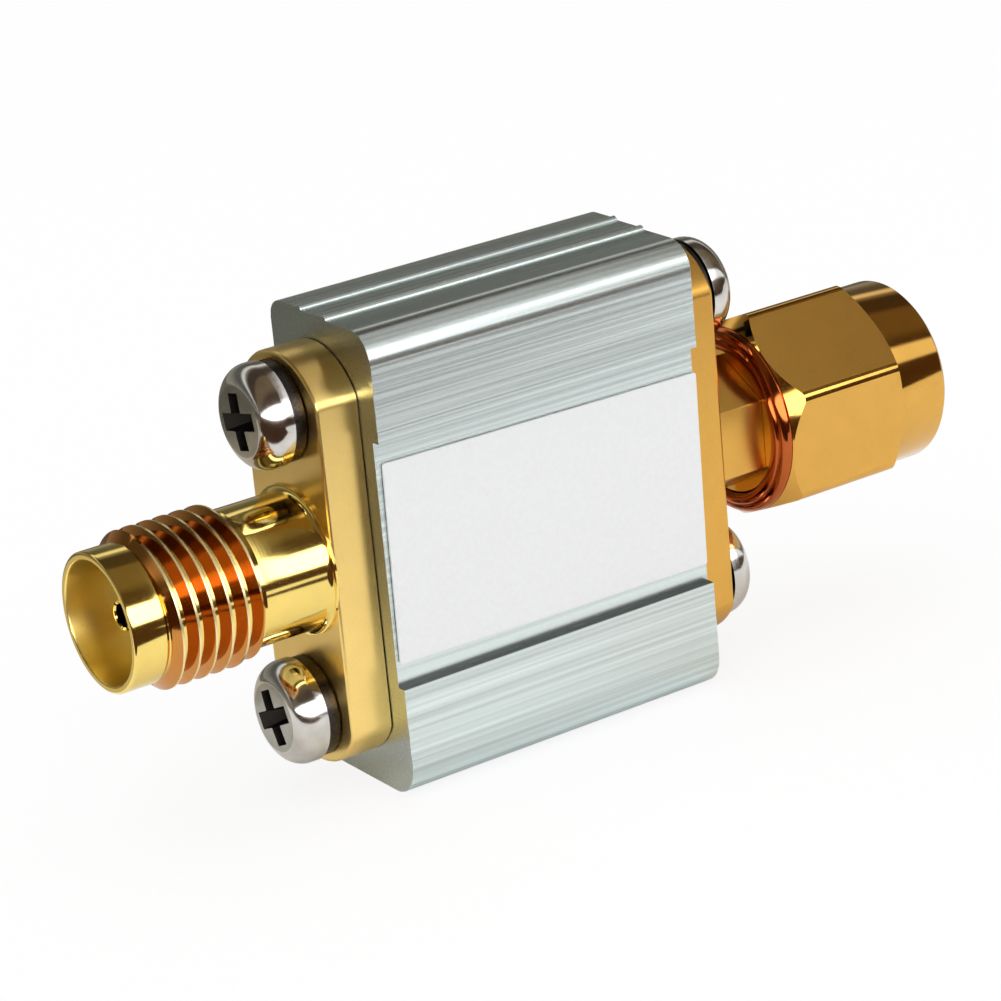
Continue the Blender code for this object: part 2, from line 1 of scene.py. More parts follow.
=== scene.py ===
# %% [markdown]
# # A coaxial band-pass filter
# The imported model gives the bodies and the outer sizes. The housing, both connectors with their inner
# pieces, the nut, the screws and the washers are made again here with fine edges, threads and recesses,
# and every surface gets a material that is worked out by nodes. All sizes are in metres. X runs along
# the signal axis, the label looks to -Y, and +Z is up.

import math

import bmesh
import bpy
from mathutils import Matrix, Vector, noise


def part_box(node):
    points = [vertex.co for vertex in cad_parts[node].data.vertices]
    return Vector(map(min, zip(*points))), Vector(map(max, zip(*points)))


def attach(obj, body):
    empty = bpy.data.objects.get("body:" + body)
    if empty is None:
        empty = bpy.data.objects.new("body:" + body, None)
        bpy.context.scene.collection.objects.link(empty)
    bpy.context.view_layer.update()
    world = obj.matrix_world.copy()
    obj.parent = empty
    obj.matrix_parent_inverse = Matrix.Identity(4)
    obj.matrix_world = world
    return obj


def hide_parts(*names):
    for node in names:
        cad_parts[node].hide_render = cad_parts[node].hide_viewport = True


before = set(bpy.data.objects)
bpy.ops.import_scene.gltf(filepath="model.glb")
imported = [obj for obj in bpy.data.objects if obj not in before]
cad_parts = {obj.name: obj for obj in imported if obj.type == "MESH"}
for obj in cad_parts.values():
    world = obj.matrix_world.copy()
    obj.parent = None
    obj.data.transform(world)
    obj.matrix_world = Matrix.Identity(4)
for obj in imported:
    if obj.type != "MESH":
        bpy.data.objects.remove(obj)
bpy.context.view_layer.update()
scene = bpy.context.scene


# %% [markdown]
# ## Where the connectors stand
# Both connectors are turned on a lathe about the signal axis. Each of their pieces is drawn once in a
# frame whose Z axis points out of the housing from the outer face of the flange, because that makes Z
# the axis of every spin, and is then laid along X at one end or the other.

# %% The two ends
MM = 0.001
GAP = 0.04 * MM
AXIS_Y = 0.4 * MM
AXIS_Z = 9.6 * MM
FLANGE_THICKNESS = 1.8 * MM
HALF_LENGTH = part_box("housing")[1][0]
FLANGE_FACE = HALF_LENGTH + GAP + FLANGE_THICKNESS
SCREW_OUT = 6.1 * MM


def outward(side):
    """The frame on a flange's outer face: side is -1 at the jack and 1 at the plug."""
    face = Matrix.Translation((side * FLANGE_FACE, AXIS_Y, AXIS_Z))
    return face @ Matrix.Rotation(side * math.pi / 2, 4, "Y")


def screw_place(side, up):
    """The same frame moved to a screw above (1) or below (-1) the signal axis."""
    return outward(side) @ Matrix.Translation((-side * up * SCREW_OUT, 0, 0))


print("flange face at", round(FLANGE_FACE / MM, 3), "mm")

# %% [markdown]
# ## Shader sums as Python
# A material's pattern is easier to read as a sum than as a net of boxes. This small class wraps one
# socket, and its operators add the Math nodes, also when the number comes first, as in 1 - mask.

# %% A socket that can be reckoned with


class Wire:
    """One socket of a node tree."""

    def __init__(self, tree, socket):
        self.tree = tree
        self.socket = socket

    def node(self, kind, settings=None, inputs=None, output=0):
        """Adds a node: its settings first, then the values or wires of its sockets."""
        made = self.tree.nodes.new(kind)
        settings = dict(settings or {})
        stops = settings.pop("stops", None)
        for key, value in settings.items():
            setattr(made, key, value)
        if stops:
            ramp = made.color_ramp
            while len(ramp.elements) < len(stops):
                ramp.elements.new(1.0)
            for element, (place, tone) in zip(ramp.elements, stops):
                element.position = place
                element.color = (*tone, 1.0)
        for key, value in (inputs or {}).items():
            if isinstance(value, Wire):
                self.tree.links.new(value.socket, made.inputs[key])
            else:
                made.inputs[key].default_value = value
        return Wire(self.tree, made.outputs[output])

    def sum(self, operation, first, second):
        return self.node("ShaderNodeMath", {"operation": operation}, {0: first, 1: second})

    def __add__(self, other):
        return self.sum("ADD", self, other)

    def __sub__(self, other):
        return self.sum("SUBTRACT", self, other)

    def __rsub__(self, other):
        return self.sum("SUBTRACT", other, self)

    def __mul__(self, other):
        return self.sum("MULTIPLY", self, other)

    __radd__ = __add__
    __rmul__ = __mul__

    def between(self, low, high):
        """0 below low, 1 above high, and an even slope from one to the other."""
        return self.node("ShaderNodeMapRange", {}, {"Value": self, "From Min": low, "From Max": high})

    def mix(self, first, second):
        """The colour first where this wire is 0, and second where it is 1."""
        return self.node("ShaderNodeMix", {"data_type": "RGBA"}, {"Factor": self, "A": first, "B": second}, 2)


print("wires can add, subtract, multiply and mix")

# %% [markdown]
# ## How a material starts
# Each finish starts from the Principled shader and the object's own coordinates. Every piece has its
# place in its mesh, so these coordinates are metres on the whole filter, and one grain runs on from
# piece to piece without any unwrapping. A pattern's scale is given in waves a millimetre along X, Y
# and Z.

# %% A new finish


def finish(name, color, metallic, roughness=0.5):
    """A material, its shader node, and a wire that carries the object coordinates."""
    made = bpy.data.materials.new(name)
    made.use_nodes = True
    tree = made.node_tree
    shader = tree.nodes["Principled BSDF"]
    shader.inputs["Base Color"].default_value = (*color, 1.0)
    shader.inputs["Metallic"].default_value = metallic
    shader.inputs["Roughness"].default_value = roughness
    made.diffuse_color = (*color, 1.0)
    start = tree.nodes.new("ShaderNodeTexCoord")
    return made, shader, Wire(tree, start.outputs["Object"])


def grain(coords, per_mm, detail=2.0, shift=0.0):
    """Noise about 0.5, with so many waves a millimetre along each axis."""
    scale = tuple(1000.0 * v for v in per_mm)
    placed = coords.node("ShaderNodeMapping", {},
                         {"Vector": coords, "Scale": scale, "Location": (shift,) * 3})
    return placed.node("ShaderNodeTexNoise", {}, {"Vector": placed, "Scale": 1.0, "Detail": detail})


def feed(shader, socket, wire):
    wire.tree.links.new(wire.socket, shader.inputs[socket])


def bump(shader, height, deep_mm):
    made = height.node("ShaderNodeBump", {}, {"Height": height, "Distance": deep_mm * MM})
    feed(shader, "Normal", made)


def shade(color, factor):
    """A colour as the nodes take it, made lighter or darker."""
    return (*(v * factor for v in color), 1.0)


print("finishes start from object coordinates")

# %% [markdown]
# ## Extruded aluminium
# The housing is a length of extrusion: the die leaves fine lines along X on the sides, a little deeper
# here and there, and the metal between them is satin. Cut lines would need far too many faces, so a
# stretched noise gives them as bump and tone, and a finer, even one gives the grain that holds the
# light. Mill finish is nearly colourless, a touch cool.

# %% Housing sides
ALUMINIUM = (0.69, 0.765, 0.75)
aluminium, shader, coords = finish("housing_aluminium", ALUMINIUM, 1.0)
lines = grain(coords, (0.03, 6.0, 6.0), 3.0)
broad = grain(coords, (0.02, 1.6, 1.6), 2.0, 4.0)
sand = grain(coords, (9.0, 9.0, 9.0), 2.0)
drawn = 0.6 * lines.between(0.38, 0.62) + 0.4 * broad.between(0.35, 0.65)
feed(shader, "Base Color", drawn.mix(shade(ALUMINIUM, 0.74), shade(ALUMINIUM, 1.14)))
feed(shader, "Roughness", 0.17 + 0.08 * lines + 0.04 * sand)
bump(shader, 0.85 * lines + 0.15 * sand, 0.009)
print(aluminium.name)

# %% [markdown]
# ## Sawn aluminium
# The housing's ends were cut with a saw. The cut is rougher than the sides and speckled, with shallow
# arcs from the blade. A wave pattern of rings about X, bent by its own distortion, gives the arcs. The
# narrow ledges of the recess are painted nearly black with a dull finish of their own: painted shade.

# %% Housing ends
# Near black for the ledges of the recess: painted shade.
LEDGE_SHADE = (0.10, 0.11, 0.105)
cut_aluminium, shader, coords = finish("housing_cut", ALUMINIUM, 1.0)
speckle = grain(coords, (9.0, 9.0, 9.0), 3.0)
arcs = coords.node("ShaderNodeTexWave", {"wave_type": "RINGS", "rings_direction": "X"},
                   {"Vector": coords, "Scale": 1500.0, "Distortion": 6.0, "Detail": 2.0})
feed(shader, "Base Color", speckle.between(0.35, 0.7).mix(shade(ALUMINIUM, 0.70), shade(ALUMINIUM, 0.86)))
feed(shader, "Roughness", 0.26 + 0.1 * speckle)
bump(shader, 0.6 * speckle + 0.4 * arcs, 0.004)
ledge_painted_shade, shader, coords = finish("housing_ledge_painted_shade", LEDGE_SHADE, 1.0)
scale = grain(coords, (1.5, 9.0, 9.0), 3.0)
feed(shader, "Base Color", scale.between(0.35, 0.7).mix(shade(LEDGE_SHADE, 0.7), shade(LEDGE_SHADE, 1.3)))
feed(shader, "Roughness", 0.45 + 0.1 * scale)
print(cut_aluminium.name, ledge_painted_shade.name)

# %% [markdown]
# ## Gold plate
# Both connectors are brass with a thin plate of gold. Turned parts are bright, with tool rings so fine
# that they only soften the reflections round the axis. Milled and stamped faces are satin, with a sandy
# grain. The plug's plate is a deeper orange than the jack's, so each end has its own pair of finishes.
# The jack's bore is painted paler than its outside: painted light. The nut's rolled lips are painted a
# dark copper red, painted shade of the dark that they mirror, and the thread is painted deep orange on
# its flanks as painted shade and pale along its crests as a painted highlight. Two functions make all
# of them, because they differ only in tone.

# %% Bright and satin gold
JACK_GOLD = (0.97, 0.73, 0.21)
JACK_SATIN = (0.99, 0.71, 0.24)
PLUG_GOLD = (0.76, 0.42, 0.09)
# A paler gold for the jack's bore: painted light inside it.
BORE_LIT_GOLD = (1.0, 0.80, 0.28)
# A dark copper red for the nut's rolled lips: painted shade.
LIP_SHADE = (0.50, 0.12, 0.03)
# A deep orange for the thread's flanks, painted shade, and a pale gold for its crests, a painted highlight.
FLANK_SHADE_GOLD = (0.60, 0.25, 0.055)
CREST_HIGHLIGHT_GOLD = (1.0, 0.84, 0.46)


def bright_gold(name, tone):
    made, shader, coords = finish(name, tone, 1.0)
    rings = grain(coords, (14.0, 0.1, 0.1), 2.0)
    cloud = grain(coords, (0.7, 0.7, 0.7), 2.0)
    feed(shader, "Base Color", cloud.between(0.3, 0.7).mix(shade(tone, 0.95), shade(tone, 1.04)))
    feed(shader, "Roughness", 0.05 + 0.05 * rings + 0.03 * cloud)
    bump(shader, rings, 0.0003)
    return made


def satin_gold(name, tone):
    made, shader, coords = finish(name, tone, 1.0)
    sand = grain(coords, (16.0, 16.0, 16.0), 2.0)
    cloud = grain(coords, (0.9, 0.9, 0.9), 2.0)
    patchy = (0.5 * sand + 0.5 * cloud).between(0.35, 0.65)
    feed(shader, "Base Color", patchy.mix(shade(tone, 0.96), shade(tone, 1.03)))
    feed(shader, "Roughness", 0.25 + 0.06 * sand + 0.02 * cloud)
    bump(shader, sand, 0.0008)
    return made


jack_bright = bright_gold("gold_jack_turned", JACK_GOLD)
jack_satin = satin_gold("gold_jack_milled", JACK_SATIN)
plug_bright = bright_gold("gold_plug_turned", PLUG_GOLD)
plug_satin = satin_gold("gold_plug_milled", PLUG_GOLD)
bore_painted_light = satin_gold("gold_jack_bored_painted_light", BORE_LIT_GOLD)
lip_painted_shade = bright_gold("gold_nut_lip_painted_shade", LIP_SHADE)
flank_painted_shade = bright_gold("gold_thread_flank_painted_shade", FLANK_SHADE_GOLD)
crest_painted_highlight = satin_gold("gold_thread_crest_painted_highlight", CREST_HIGHLIGHT_GOLD)
print("eight golds")

# %% [markdown]
# ## Screws and washers
# The screws are nickel-plated steel, nearly a mirror, with small dull patches. The cross recess is
# painted nearly black: painted shade. The split washers are painted nearly black with a fine grain:
# painted shade under the screw heads.

# %% Steel
STEEL = (0.68, 0.66, 0.62)
FACE_STEEL = (0.44, 0.43, 0.38)
# Near black for the cross recess: painted shade.
RECESS_SHADE = (0.018, 0.016, 0.014)
# Near black for the split washers: painted shade under the screw heads.
WASHER_SHADE = (0.05, 0.045, 0.045)
STIR = 0.10


def nickel(name, color, gloss):
    """Plated steel whose patches move its roughness by STIR about gloss."""
    made, shader, coords = finish(name, color, 1.0)
    patches = grain(coords, (1.6, 1.6, 1.6), 4.0)
    feed(shader, "Base Color", patches.between(0.35, 0.65).mix(shade(color, 0.88), shade(color, 1.06)))
    feed(shader, "Roughness", patches * STIR + gloss - STIR / 2)
    bump(shader, patches, 0.002)
    return made


screw_steel = nickel("screw_steel", STEEL, 0.13)
screw_face = nickel("screw_face", FACE_STEEL, 0.34)
screw_recess_painted_shade = nickel("screw_recess_painted_shade", RECESS_SHADE, 0.5)
# The washers' near-black finish is painted shade, with a fine grain.
washer_steel, shader, coords = finish("washer_steel", WASHER_SHADE, 1.0)
grit = grain(coords, (8.0, 8.0, 8.0), 3.0)
feed(shader, "Base Color", grit.between(0.3, 0.7).mix(shade(WASHER_SHADE, 0.7), shade(WASHER_SHADE, 1.3)))
feed(shader, "Roughness", 0.24 + 0.12 * grit)
bump(shader, grit, 0.0015)
print(screw_steel.name, washer_steel.name)

# %% [markdown]
# ## The small pieces inside
# PTFE is a milky white with faint turning rings, the gasket a deep red silicone rubber, the snap ring
# a springy bronze, the board a green mask over woven glass, and the chips fired ceramic. One function
# serves them all: it stirs colour, gloss and surface with one grain of the right scale.

# %% Plastics, rubber, bronze and ceramic


def plain(name, color, roughness, per_mm, depth, contrast=0.12, metallic=0.0):
    """A finish with one grain that stirs its colour, its gloss and its surface."""
    made, shader, coords = finish(name, color, metallic)
    stir = grain(coords, per_mm, 3.0)
    light, dark = shade(color, 1.0 + contrast / 2), shade(color, 1.0 - contrast)
    feed(shader, "Base Color", stir.between(0.3, 0.7).mix(dark, light))
    feed(shader, "Roughness", roughness - 0.06 + 0.12 * stir)
    bump(shader, stir, depth)
    return made


ptfe = plain("ptfe", (0.88, 0.88, 0.86), 0.42, (12.0, 0.4, 0.4), 0.002, 0.05)
red_silicone = plain("red_silicone", (0.5, 0.05, 0.035), 0.45, (5.0, 5.0, 5.0), 0.003)
spring_bronze = plain("spring_bronze", (0.72, 0.48, 0.26), 0.25, (6.0, 6.0, 6.0), 0.002, 0.2, 1.0)
board = plain("board", (0.02, 0.14, 0.06), 0.35, (3.0, 0.5, 3.0), 0.004, 0.3)
chip_ceramic = plain("chip_ceramic", (0.5, 0.49, 0.45), 0.5, (9.0, 9.0, 9.0), 0.003)
inductor_ceramic = plain("inductor_ceramic", (0.08, 0.14, 0.26), 0.4, (9.0, 9.0, 9.0), 0.003)
capacitor_ceramic = plain("capacitor_ceramic", (0.42, 0.29, 0.17), 0.4, (9.0, 9.0, 9.0), 0.003)
print("seven plain finishes")

# %% [markdown]
# ## The label
# A thin white vinyl sticker on the floor of the recess. It is left bare. Vinyl is smooth but not flat
# as glass: it shows the metal's lines underneath as a faint unevenness, so a second noise is stretched
# along X as the extrusion's is.

# %% Label vinyl
VINYL = (0.84, 0.85, 0.85)
label_white, shader, coords = finish("label_white", VINYL, 0.0)
fibre = grain(coords, (5.0, 5.0, 5.0), 4.0)
ripple = grain(coords, (0.1, 1.2, 1.2), 2.0)
feed(shader, "Base Color", fibre.between(0.3, 0.7).mix(shade(VINYL, 0.975), shade(VINYL, 1.015)))
feed(shader, "Roughness", 0.32 + 0.12 * fibre)
bump(shader, 0.3 * fibre + 0.7 * ripple, 0.003)
print(label_white.name)

# %% [markdown]
# ## Tools for turned and flat pieces
# A turned piece is its section, a line of a few points, spun once about Z. A flat piece is one or more
# closed loops that are filled, so that the inner loops become holes, and then extruded. Sharp edges are
# broken by a small bevel, because a real edge always catches a thin line of light.

# %% Outlines
STEPS = 96


def mm(*pairs):
    """Points given in millimetres."""
    return [(height * MM, radius * MM) for height, radius in pairs]


def sweep(x, y, radius, start, end, steps=10):
    """Points along an arc from start to end, in degrees."""
    turns = [math.radians(start + (end - start) * i / steps) for i in range(steps + 1)]
    return [(x + radius * math.cos(a), y + radius * math.sin(a)) for a in turns]


def circle(radius, steps=STEPS, x=0.0):
    turns = [math.tau * (i + 0.5) / steps for i in range(steps)]
    return [(x + radius * math.cos(a), radius * math.sin(a)) for a in turns]


def hexagon(across_flats):
    return sweep(0.0, 0.0, across_flats / math.sqrt(3), 0.0, 300.0, 5)


print("a full turn has", STEPS, "steps")

# %% Turned and flat solids
BREAK = 0.03 * MM
MERGE = 0.0005 * MM
SQUARE = 69.0  # degrees: only edges near a right angle turn by more


def sharp_edges(bm, degrees=28.0):
    limit = math.radians(degrees)
    return [e for e in bm.edges if len(e.link_faces) == 2 and e.calc_face_angle(0.0) > limit]


def bevel(bm, edges, width, segments=2):
    bmesh.ops.bevel(bm, geom=edges, offset=width, offset_type="OFFSET", segments=segments, profile=0.5,
                    affect="EDGES", clamp_overlap=True, material=-1)


def turned(section, width=BREAK, steps=STEPS):
    """A section of (height, radius) points spun about Z, closed unless it starts on the axis."""
    bm = bmesh.new()
    points = [bm.verts.new((radius, 0.0, height)) for height, radius in section]
    pairs = list(zip(points, points[1:]))
    if section[0][1] > 0.0:
        pairs.append((points[-1], points[0]))
    ring = [bm.edges.new(pair) for pair in pairs]
    bmesh.ops.spin(bm, geom=points + ring, cent=(0, 0, 0), axis=(0, 0, 1), dvec=(0, 0, 0), angle=math.tau,
                   steps=steps, use_merge=True, use_duplicate=False)
    bmesh.ops.remove_doubles(bm, verts=bm.verts[:], dist=MERGE)
    bmesh.ops.recalc_face_normals(bm, faces=bm.faces[:])
    if width:
        bevel(bm, sharp_edges(bm), width)
    return bm


def plate(loops, low, high):
    """Closed loops of (x, y) points, the inner ones as holes, extruded from low to high."""
    bm = bmesh.new()
    rims = []
    for points in loops:
        verts = [bm.verts.new((x, y, low)) for x, y in points]
        rims += [bm.edges.new(pair) for pair in zip(verts, verts[1:] + verts[:1])]
    bmesh.ops.triangle_fill(bm, use_beauty=True, use_dissolve=False, edges=rims)
    grown = bmesh.ops.extrude_face_region(bm, geom=bm.faces[:], use_keep_orig=True)
    top = [g for g in grown["geom"] if isinstance(g, bmesh.types.BMVert)]
    bmesh.ops.translate(bm, verts=top, vec=(0, 0, high - low))
    bmesh.ops.recalc_face_normals(bm, faces=bm.faces[:])
    return bm


print("edges are broken by", BREAK / MM, "mm")

# %% [markdown]
# ## From mesh to piece
# The place goes into the mesh and the object stays at the origin. Smooth shading stops at edges over
# 20 degrees, so broken edges stay crisp. Each piece rides on its body, and the node it stands for is
# hidden.

# %% Piece helper
CRISP = math.radians(20.0)


def gather(*meshes):
    """Joins bmeshes into the first one."""
    first = meshes[0]
    for other in meshes[1:]:
        loose = bpy.data.meshes.new("loose")
        other.to_mesh(loose)
        other.free()
        first.from_mesh(loose)
        bpy.data.meshes.remove(loose)
    return first


def piece(name, bm, place, body, looks, node):
    """Lays a bmesh in its place as an object that rides on body and stands for node."""
    bmesh.ops.transform(bm, matrix=place, verts=bm.verts[:])
    mesh = bpy.data.meshes.new(name)
    bm.to_mesh(mesh)
    bm.free()
    for look in looks:
        mesh.materials.append(look)
    mesh.shade_smooth()
    mesh.set_sharp_from_angle(angle=CRISP)
    made = bpy.data.objects.new(name, mesh)
    scene.collection.objects.link(made)
    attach(made, body)
    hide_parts(node)
    print(name, len(mesh.polygons), "faces")


# %% [markdown]
# ## Housing
# The section is drawn as the die cuts it: a shallow recess for the label at the front, round front
# corners and two long ribs in the top, each with a small step down in front. It is filled with the
# channel as a hole, extruded and laid along X, as the press does it. The saw leaves small teeth of
# burr at the cut, so the end loops are moved inwards by a noise, which is the same on every run.

# %% Housing section
HOUSING_DEPTH = 7.0 * MM
TOP_LEVEL = 19.0 * MM
TOP_STEP = 0.065 * MM
RIBS = (1.35 * MM, -0.42 * MM)
RIB_HALF_WIDTH = 0.16 * MM
RIB_RISE = 0.12 * MM
RECESS_DEPTH = 0.4 * MM
RECESS_TOP = AXIS_Z + 5.1 * MM
RECESS_BOTTOM = AXIS_Z - 4.95 * MM
CHANNEL = (4.4 * MM, 8.8 * MM)
FRONT = -HOUSING_DEPTH / 2
BACK = HOUSING_DEPTH / 2
BACK_RADIUS = 0.8 * MM
BROW_RADIUS = 1.2 * MM
FOOT_RADIUS = 1.35 * MM
PARTS = 16


def rib(place, level):
    """Points over one rib, from the back down to the level in front of it."""
    points = []
    for a in (math.pi * i / PARTS for i in range(PARTS + 1)):
        rise = TOP_STEP * (1.0 + math.cos(a)) / 2 + RIB_RISE * math.sin(a)
        points.append((place + RIB_HALF_WIDTH * math.cos(a), level + rise))
    return points


brow = TOP_LEVEL - BROW_RADIUS
back_top = TOP_LEVEL + 2 * TOP_STEP - BACK_RADIUS
floor_y = FRONT + RECESS_DEPTH
section = sweep(BACK - BACK_RADIUS, BACK_RADIUS, BACK_RADIUS, -90.0, 0.0)
section += sweep(BACK - BACK_RADIUS, back_top, BACK_RADIUS, 0.0, 90.0)
section += rib(RIBS[0], TOP_LEVEL + TOP_STEP) + rib(RIBS[1], TOP_LEVEL)
section += sweep(FRONT + BROW_RADIUS, brow, BROW_RADIUS, 90.0, 180.0, PARTS)
section += [(FRONT, RECESS_TOP + (brow - RECESS_TOP) * i / PARTS) for i in range(PARTS - 1, -1, -1)]
section += [(floor_y, RECESS_TOP), (floor_y, RECESS_BOTTOM)]
section += [(FRONT, RECESS_BOTTOM - (RECESS_BOTTOM - FOOT_RADIUS) * i / PARTS) for i in range(PARTS)]
section += sweep(FRONT + FOOT_RADIUS, FOOT_RADIUS, FOOT_RADIUS, 180.0, 270.0, PARTS)
half_y, half_z = CHANNEL[0] / 2, CHANNEL[1] / 2
channel = [(AXIS_Y - half_y, AXIS_Z - half_z), (AXIS_Y + half_y, AXIS_Z - half_z),
           (AXIS_Y + half_y, AXIS_Z + half_z), (AXIS_Y - half_y, AXIS_Z + half_z)]
print(len(section), "points in the section")

# %% Housing piece
BURR = 0.035 * MM
BURR_WAVES = 9000.0  # a metre
CUT_EDGE = 0.04 * MM
AT_END = 0.01 * MM
SAWN, LEDGES = 1, 2  # places in the housing's row of finishes
ALONG_X = Matrix(((0, 0, 1, 0), (1, 0, 0, 0), (0, 1, 0, 0), (0, 0, 0, 1)))
bm = plate([section, channel], -HALF_LENGTH, HALF_LENGTH)
rim = [e for e in sharp_edges(bm, SQUARE) if abs(e.verts[0].co.z - e.verts[1].co.z) < MERGE]
# The sawn ends take the cut finish, and the ledges of the recess the near-black one, which is painted shade.
for face in bm.faces:
    level = face.calc_center_median().y
    if abs(face.normal.z) > 0.9:
        face.material_index = SAWN
    elif abs(face.normal.y) > 0.9 and min(abs(level - RECESS_TOP), abs(level - RECESS_BOTTOM)) < MERGE:
        face.material_index = LEDGES
bevel(bm, rim, CUT_EDGE, 1)
for vert in bm.verts:
    if abs(vert.co.z) > HALF_LENGTH - AT_END:
        tooth = noise.noise(vert.co * BURR_WAVES)
        vert.co.z -= math.copysign(BURR * max(0.0, tooth), vert.co.z)
piece("housing_body", bm, ALONG_X, "filter", (aluminium, cut_aluminium, ledge_painted_shade),
      "housing")

# %% [markdown]
# ## Flanges
# Each connector stands on a plate whose ends are flat arcs, with a blunt corner at each side. Three true
# arcs make one end: a large one over the screw and a small one at each corner, tangent to its neighbours.
# The other end is the same, turned by half a turn. The bore and both screw holes are inner loops, which
# is simpler than cutting them out of a finished plate.

# %% Flange plate
FLANGE_HALF_WIDTH = 2.75 * MM
FLANGE_END = 8.45 * MM
END_RADIUS = 3.1 * MM
CORNER_RADIUS = 0.8 * MM
FLANGE_EDGE = 0.1 * MM
BORE = 2.055 * MM
SCREW_HOLE = 1.3 * MM
MILLED = 1  # its place in a connector's row of finishes, after the turned one


def flange_outline():
    """Both ends of the plate, each an arc between two corners."""
    center = FLANGE_END - END_RADIUS
    up = FLANGE_HALF_WIDTH - CORNER_RADIUS
    out = math.sqrt((END_RADIUS - CORNER_RADIUS) ** 2 - up ** 2)
    meets = math.degrees(math.atan2(up, out))
    one_end = sweep(center + out, -up, CORNER_RADIUS, -90.0, -meets, 8)
    one_end += sweep(center, 0.0, END_RADIUS, -meets, meets, 36)[1:]
    one_end += sweep(center + out, up, CORNER_RADIUS, meets, 90.0, 8)[1:]
    return one_end + [(-x, -y) for x, y in one_end]


def outside(vert):
    """Whether a corner of the plate is on its outer face and not on a hole."""
    from_screw = math.hypot(abs(vert.co.x) - SCREW_OUT, vert.co.y)
    return vert.co.z > -MERGE and from_screw > SCREW_HOLE + MERGE and vert.co.xy.length > BORE + MERGE


def flange():
    holes = [circle(BORE), circle(SCREW_HOLE, 48, SCREW_OUT), circle(SCREW_HOLE, 48, -SCREW_OUT)]
    bm = plate([flange_outline()] + holes, -FLANGE_THICKNESS, 0.0)
    rim = [e for e in sharp_edges(bm, SQUARE) if outside(e.verts[0]) and outside(e.verts[1])]
    bevel(bm, rim, FLANGE_EDGE)
    for face in bm.faces:
        face.material_index = MILLED
    return bm


print("flange half width", FLANGE_HALF_WIDTH / MM, "mm")

# %% [markdown]
# ## Threads
# A screw thread is one ridge on a helix. A Screw modifier could make it, but the spin operator does too
# when each step also rises a little, and its ends are then at hand. The ridge's foot is sunk in the
# core, and both ends of the thread run out in a short cone, as where the lathe has broken the edge.

# %% Helical ridge
PITCH = 0.7056 * MM
RUN_OUT = 0.3 * MM
SUNK = 0.12  # of the ridge's height
THREAD_STEPS = 144


def thread(start, turns, root, crest, foot, top, low, high):
    """A ridge from radius root to crest. Foot and top are its widths; it runs out at low and high."""
    sink = root + (root - crest) * SUNK
    bm = bmesh.new()
    corners = ((sink, -foot / 2), (crest, -top / 2), (crest, top / 2), (sink, foot / 2))
    first = bm.faces.new([bm.verts.new((radius, 0.0, start + up)) for radius, up in corners])
    bmesh.ops.spin(bm, geom=[first], cent=(0, 0, 0), axis=(0, 0, 1), dvec=(0, 0, PITCH / THREAD_STEPS),
                   angle=math.tau * turns, steps=round(turns * THREAD_STEPS), use_merge=False,
                   use_duplicate=False)
    for vert in bm.verts:
        radius = vert.co.xy.length
        share = max(0.0, min(1.0, (vert.co.z - low) / RUN_OUT, (high - vert.co.z) / RUN_OUT))
        wanted = sink + (radius - sink) * share
        vert.co.x *= wanted / radius
        vert.co.y *= wanted / radius
    bmesh.ops.recalc_face_normals(bm, faces=bm.faces[:])
    return bm


print("pitch", round(PITCH / MM, 4), "mm")

# %% [markdown]
# ## Jack
# Foot, barrel, thread core, pilot and a thin rounded rim, bored out in front of the insulator. The
# section goes up the outside and back down the bore, so one spin makes both. The thread is a ridge of
# its own on that core, and its crest is told from its flanks by radius and by normal. The crest is
# painted pale as a painted highlight, and the flanks deep orange as painted shade.

# %% Jack body
BORE_REACH = 2.5 * MM
CREST_REACH = 3.1 * MM
BORED, FLANK, CREST = 2, 3, 4  # places in the jack's row of finishes
# Here the x of a sweep is the height, and its y is the radius.
fillet = sweep(0.35, 3.03, 0.23, 180.0, 270.0, 6)
rim_out = sweep(8.69, 2.675, 0.11, 90.0, 0.0, 6)
rim_in = sweep(8.72, 2.56, 0.08, 0.0, -90.0, 6)
jack_section = mm((-0.1, 2.1), (-0.1, 2.6), (0.0, 3.03), *fillet, (3.05, 2.8), (3.2, 2.73), (7.3, 2.73),
                  (7.42, 2.785), *rim_out, *rim_in, (8.3, 2.4), (7.6, 2.33), (5.6, 2.3), (5.6, 2.055),
                  (-0.1, 2.055))
stud = turned(jack_section, 0.015 * MM)
# Faces inside the bore take the paler gold, which is painted light.
for face in stud.faces:
    if face.calc_center_median().xy.length < BORE_REACH:
        face.material_index = BORED
ridge = thread(start=2.9 * MM, turns=6.6, root=2.73 * MM, crest=3.175 * MM, foot=0.66 * MM,
               top=0.09 * MM, low=3.12 * MM, high=7.42 * MM)
# Crest faces take the painted highlight, and flank faces the painted shade.
for face in ridge.faces:
    on_crest = abs(face.normal.z) < 0.3 and face.calc_center_median().xy.length > CREST_REACH
    face.material_index = CREST if on_crest else FLANK
piece("jack_shell", gather(flange(), stud, ridge), outward(-1), "filter",
      (jack_bright, jack_satin, bore_painted_light, flank_painted_shade, crest_painted_highlight), "jack_body")

# %% [markdown]
# ## Inside the jack
# A white bead fills the bore up to its shoulder, and the socket contact stands out of it towards the
# mouth. Two crossed slits part the socket into four fingers that spring on the mating pin. Each slit is
# two bisecting planes, and the faces between them are deleted.

# %% Bead and socket
TAIL = ((-4.24, 0.0), (-4.24, 0.25), (-2.34, 0.25), (-2.34, 0.635))
SLIT_ANGLES = (45.0, 135.0)
SLIT = 0.065 * MM
IN_SLIT = 0.064 * MM
SLIT_BOTTOM = 5.9 * MM
SLIT_INNER = 0.3 * MM


def bead(front):
    """The white insulator, from its back to a front that is given in millimetres."""
    return turned(mm((-2.34, 0.675), (-2.34, 2.02), (front, 2.02), (front, 0.675)))


